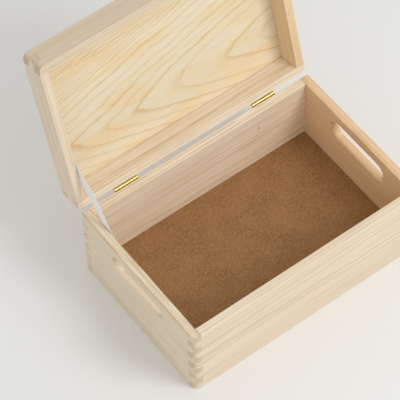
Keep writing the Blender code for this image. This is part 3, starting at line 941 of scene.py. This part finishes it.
leaves = {"box": hinge_leaf("box_leaf", 0), "lid": hinge_leaf("lid_leaf", 1)}
screw = countersunk_screw("leaf_screw")
pin_half = (pin_high.x - pin_low.x) / 2
head = [(0.35 * MM, -pin_half), (0.7 * MM, 0.12 * MM - pin_half), (0.8 * MM, 0.3 * MM - pin_half)]
pin_profile = head + [(radius, -x) for radius, x in reversed(head)]
pin = put("hinge_pin", loft(turned(pin_profile, 24)))
for made in (leaves["box"], leaves["lid"], screw, pin):
    dress(made, BRASS)
pin.data.shade_smooth()
for hand, x in zip(("left", "right"), HINGE_X):
    axis = Matrix.Translation((x, AXIS.y, AXIS.z))
    fit(copy_of(pin, f"{hand}_pin"), axis @ ALONG_X, "box", f"{hand}_hinge_pin")
    for body, opening, over in (("box", Matrix(), TURNED_OVER), ("lid", OPENING, Matrix())):
        leaf_home = opening @ axis @ over
        leaf_copy = copy_of(leaves[body], f"{hand}_{body}_leaf")
        fit(leaf_copy, leaf_home, body, f"{hand}_hinge_{body}_leaf")
        for number, side in enumerate((-1, 1), 1):
            leaf_face = LEAF_THICK - KNUCKLE_RADIUS
            spot = Matrix.Translation((side * LEAF_SCREW_X, leaf_face, LEAF_SCREW_REACH))
            twist = Matrix.Rotation(math.radians(35 * number + 50 * (x > 0)), 4, "Z")
            name = f"{hand}_{body}_leaf_screw_{number}"
            screw_home = leaf_home @ spot @ OUT_OF_BACK @ twist
            fit(copy_of(screw, name), screw_home, body, f"{hand}_hinge_{body}_screw_{number}")
discard([*leaves.values(), screw, pin])

# %% [markdown]
# The stay is a cotton tape, woven in a fine twill with a firm edge along each
# side. It is screwed flat to both left boards and drawn nearly straight by the
# leaning lid, so it is built along that line: a thin section with rounded edges,
# carried from screw to screw, which twists a little where nothing holds it. The
# twill needs to know its own length and width, so each point stores them.

# %% Twill tape
TAPE_WIDTH = 12 * MM
TAPE_THICK = 0.55 * MM
TAPE_END = 7 * MM
TAPE_HELD = 17 * MM  # how far past each screw the tape lies flat on its board
TAPE_TWIST = math.radians(8)
TAPE_BULGE = 0.9 * MM
TAPE_SAG = 0.8 * MM

box_washer_low, box_washer_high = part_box("stay_box_washer")
lid_washer_low, lid_washer_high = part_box("stay_lid_washer")
strap_low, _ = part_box("lid_stay_strap")
box_spot = (box_washer_low + box_washer_high) / 2
lid_spot = (lid_washer_low + lid_washer_high) / 2
TAPE_X = strap_low.x + TAPE_THICK / 2
tape_start = Vector((TAPE_X, box_spot.y, box_spot.z))
tape_end = Vector((TAPE_X, lid_spot.y, lid_spot.z))
TAPE_SPAN = (tape_end - tape_start).length
tape_along = (tape_end - tape_start).normalized()
INWARD = Vector((1, 0, 0))
tape_across = INWARD.cross(tape_along)


def tape_section(steps=12):
    """(across, through) round the tape's section, whose edges are thick and round."""
    half = TAPE_WIDTH / 2
    top = []
    for i in range(steps + 1):
        across = -math.cos(math.pi * i / steps)
        firm = 1 + 0.35 * abs(across) ** 12
        through = TAPE_THICK / 2 * firm * math.sqrt(max(0.0, 1 - abs(across) ** 30))
        top.append((half * across, through))
    return top + [(across, -through) for across, through in reversed(top[1:-1])]


def tape_ring(run):
    """The section at a distance along the tape, twisted and slack in its free middle."""
    free = (run - TAPE_HELD) / (TAPE_SPAN - 2 * TAPE_HELD)
    swell = math.sin(math.pi * min(max(free, 0), 1)) ** 2
    twist = TAPE_TWIST * swell
    across_way = tape_across * math.cos(twist) + INWARD * math.sin(twist)
    through_way = INWARD * math.cos(twist) - tape_across * math.sin(twist)
    ripple = 0.06 * MM * math.sin(run / (2.3 * MM)) * math.sin(run / (9.1 * MM))
    middle = tape_start + tape_along * run
    middle = middle + INWARD * (TAPE_BULGE * swell) - tape_across * (TAPE_SAG * swell)
    ring = []
    for across, through in tape_section():
        wider = 1 + ripple / (TAPE_WIDTH / 2)
        ring.append(middle + across_way * (across * wider) + through_way * through)
    return ring


def cotton_tape():
    """A white twill: diagonal ribs, crossed threads, a firm plain edge."""
    finish = Finish("tape")
    sockets = {"attribute_name": "tape_place"}
    here = finish.add("ShaderNodeAttribute", sockets, output="Vector")
    along, across, _ = finish.parts(finish.vector("MULTIPLY", here, (1000, 1000, 1000)))
    place, _ = finish.place()
    rib = ((along + across) * (2 * math.pi / 0.9)).sine()
    thread = (across * (2 * math.pi / 0.45)).sine()
    edge = abs(across).step(5.0, 5.3)
    weave = (0.5 + 0.35 * rib + 0.15 * thread) * (1 - edge) + edge * (0.5 + 0.5 * thread)
    uneven = finish.noise(place, (4, 4, 4), 51, 2.0)
    colour = finish.mix(0.5 * (1 - weave), (0.95, 0.95, 0.93), (0.80, 0.80, 0.78))
    colour = finish.mix(0.25 * uneven, colour, (0.88, 0.87, 0.82))
    finish.shader.inputs["Sheen Weight"].default_value = 0.25
    finish.shader.inputs["Sheen Roughness"].default_value = 0.5
    return finish.done(colour, 0.82 + 0.1 * uneven, weave, 0.12 * MM, 0.7)


RINGS = 110
runs = [-TAPE_END + (TAPE_SPAN + 2 * TAPE_END) * i / RINGS for i in range(RINGS + 1)]
strap = put("stay_tape", loft([tape_ring(run) for run in runs]))
bore = loft(turned([(0.95 * MM, -BEYOND), (0.95 * MM, BEYOND)], 20))
bores = [put("bore", bore, Matrix.Translation(spot) @ ALONG_X) for spot in (tape_start, tape_end)]
carve(strap, bores)
discard(bores)
strap.data.shade_smooth()
strap.data.set_sharp_from_angle(angle=math.radians(60))
places = strap.data.attributes.new("tape_place", "FLOAT_VECTOR", "POINT")
for vertex, stored in zip(strap.data.vertices, places.data):
    reach = vertex.co - tape_start
    stored.vector = (reach.dot(tape_along), reach.dot(tape_across), 0)
dress(strap, cotton_tape())
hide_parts("lid_stay_strap")
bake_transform(strap)
print("the tape is", round((TAPE_SPAN + 2 * TAPE_END) / MM, 1), "mm long")

# %% [markdown]
# A brass washer spreads each screw's grip over the tape. Its edges are rounded by
# the tumbling drum, and the screw above it has a low dome with a driver's slot.

# %% Washers and stay screws
def washer(name):
    """A washer with its underside at z = 0."""
    low, high, thick, round_edge = 1.05 * MM, 4.2 * MM, 0.7 * MM, 0.15 * MM
    profile = [(high - round_edge, 0), (high, round_edge), (high, thick - 2 * round_edge)]
    profile += [(high - 2 * round_edge, thick)]
    made = put(name, loft(turned(profile, 40)))
    bore = [put("bore", loft(turned([(low, -BEYOND), (low, BEYOND)], 28)))]
    carve(made, bore)
    discard(bore)
    soften(made, 0.06 * MM)
    return made


def dome_screw(name):
    """A slotted screw whose domed head has its underside at z = 0."""
    head, rise = 2.6 * MM, 1.3 * MM
    profile = [(0.12 * MM, -9.0 * MM), (0.8 * MM, -7.8 * MM), (0.8 * MM, 0), (head - 0.12 * MM, 0)]
    for angle in range(10, 90, 10):
        lift = math.radians(angle)
        profile.append((head * math.cos(lift), 0.15 * MM + (rise - 0.15 * MM) * math.sin(lift)))
    profile.append((0.15 * MM, rise))
    made = put(name, loft(turned(profile, 40)))
    slot = [put("drive", slab((-BEYOND, -0.32 * MM, 0.65 * MM), (BEYOND, 0.32 * MM, BEYOND)))]
    carve(made, slot)
    discard(slot)
    soften(made, 0.06 * MM)
    return made


LEFT_INSIDE = Matrix.Rotation(math.radians(90), 4, "Y")
washer_piece, screw_piece = washer("washer"), dome_screw("dome_screw")
for piece in (washer_piece, screw_piece):
    dress(piece, BRASS)
for body, low, high, twist in (
    ("box", box_washer_low, box_washer_high, 20),
    ("lid", lid_washer_low, lid_washer_high, -35),
):
    spot = Matrix.Translation((low.x, (low.y + high.y) / 2, (low.z + high.z) / 2))
    on_washer = Matrix.Translation((high.x - low.x, 0, 0))
    drive = Matrix.Rotation(math.radians(twist), 4, "Z")
    washer_copy = copy_of(washer_piece, f"{body}_tape_washer")
    fit(washer_copy, spot @ LEFT_INSIDE, body, f"stay_{body}_washer")
    screw_home = on_washer @ spot @ LEFT_INSIDE @ drive
    fit(copy_of(screw_piece, f"{body}_tape_screw"), screw_home, body, f"stay_{body}_screw")
discard([washer_piece, screw_piece])
